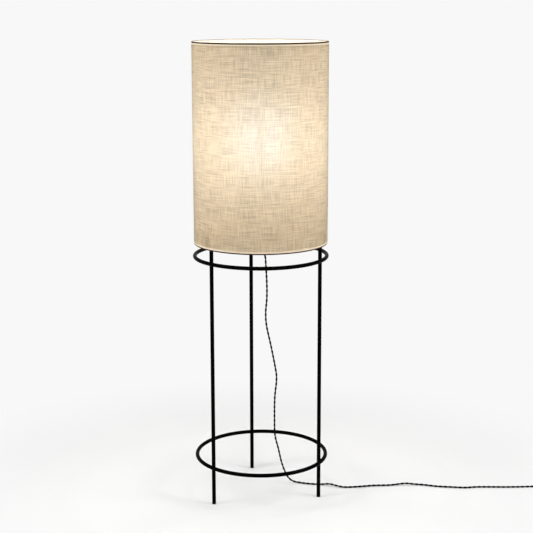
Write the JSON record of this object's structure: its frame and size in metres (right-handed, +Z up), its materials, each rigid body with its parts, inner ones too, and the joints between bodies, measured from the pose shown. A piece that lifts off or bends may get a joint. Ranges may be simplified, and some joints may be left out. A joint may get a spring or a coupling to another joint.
{
  "type": "column floor lamp",
  "caption": "Tall floor lamp: a cylindrical linen drum shade set on a stand of slim black round bar, with an upper and a lower ring and a twisted textile cord.",
  "frame": {"origin": "on the floor, in the middle of the stand's rings", "axes": "+Z up along the shade's axis, -Y towards the front, +X to the right, where the cord leaves along the floor"},
  "size_m": [1.3851, 0.458, 1.549],
  "materials": {
    "black_paint": "satin black powder coat on steel",
    "black_rubber": "matt",
    "zinc_steel": "bright zinc plating",
    "black_plastic": "fine moulded grain",
    "gloss_black": "polished",
    "black_textile": "braided cotton, two cores twisted together",
    "white_ceramic": "glazed",
    "brass": "plain",
    "lead_plastic": "plain insulation",
    "opal_glass": "opal, lit from inside",
    "clear_glass": "clear",
    "nickel": "nickel plating",
    "black_glass": "vitrite",
    "filament": "phosphor coat",
    "linen": "plain-woven natural linen with slubs, laminated",
    "white_film": "translucent white film",
    "hem_tape": "rolled linen edge",
    "tie_tape": "hook and loop tape"
  },
  "bodies": {
    "stand": {"leg_left": "black_paint", "leg_right": "black_paint", "leg_rear": "black_paint", "upper_ring": "black_paint", "lower_ring": "black_paint", "ring_welds": "black_paint", "foot_left": "black_rubber", "foot_right": "black_rubber", "foot_rear": "black_rubber", "arm_left": "black_paint", "arm_right": "black_paint", "arm_rear": "black_paint", "hub_plate": "black_paint", "stem": "black_paint", "lower_nipple": "zinc_steel", "upper_nipple": "zinc_steel", "lock_washer": "zinc_steel", "nipple_nuts": "zinc_steel", "cord_grip": "black_plastic", "grip_screw": "black_plastic", "inner_cord": "black_textile", "holder_cap": "black_plastic", "holder_shell": "black_plastic", "holder_core": "white_ceramic", "side_contact": "brass", "centre_contact": "brass", "terminals": "brass", "terminal_screws": "zinc_steel", "holder_leads": "lead_plastic", "cord": "black_textile", "cord_coil": "black_textile", "coil_tie": "tie_tape", "switch_base": "black_plastic", "switch_cover": "black_plastic", "switch_core": "lead_plastic", "switch_screws": "zinc_steel", "plug_body": "black_plastic", "plug_pins": "nickel", "plug_sleeve": "black_plastic"},
    "shade": {"linen_cover": "linen", "shade_liner": "white_film", "shade_top_ring": "black_paint", "shade_bottom_ring": "black_paint", "top_hem": "hem_tape", "bottom_hem": "hem_tape", "seat_brackets": "black_paint"},
    "bulb": {"bulb_glass": "opal_glass", "bulb_cap": "nickel", "bulb_insulator": "black_glass", "bulb_contact": "brass", "filament_mount": "clear_glass", "led_filaments": "filament"},
    "button": {"switch_button": "gloss_black"}
  },
  "joints": [
    {"name": "shade_lift", "type": "slide", "parent": "stand", "child": "shade", "axis": [0, 0, 1], "range_m": [0, 0.42]},
    {"name": "bulb_turn", "type": "hinge", "parent": "stand", "child": "bulb", "pos_m": [0, 0, 1.16], "axis": [0, 0, 1], "continuous": true},
    {"name": "button_press", "type": "slide", "parent": "stand", "child": "button", "axis": [0, 0, -1], "range_m": [0, 0.003], "stiffness_N_per_m": 800, "springref_m": -0.001}
  ]
}
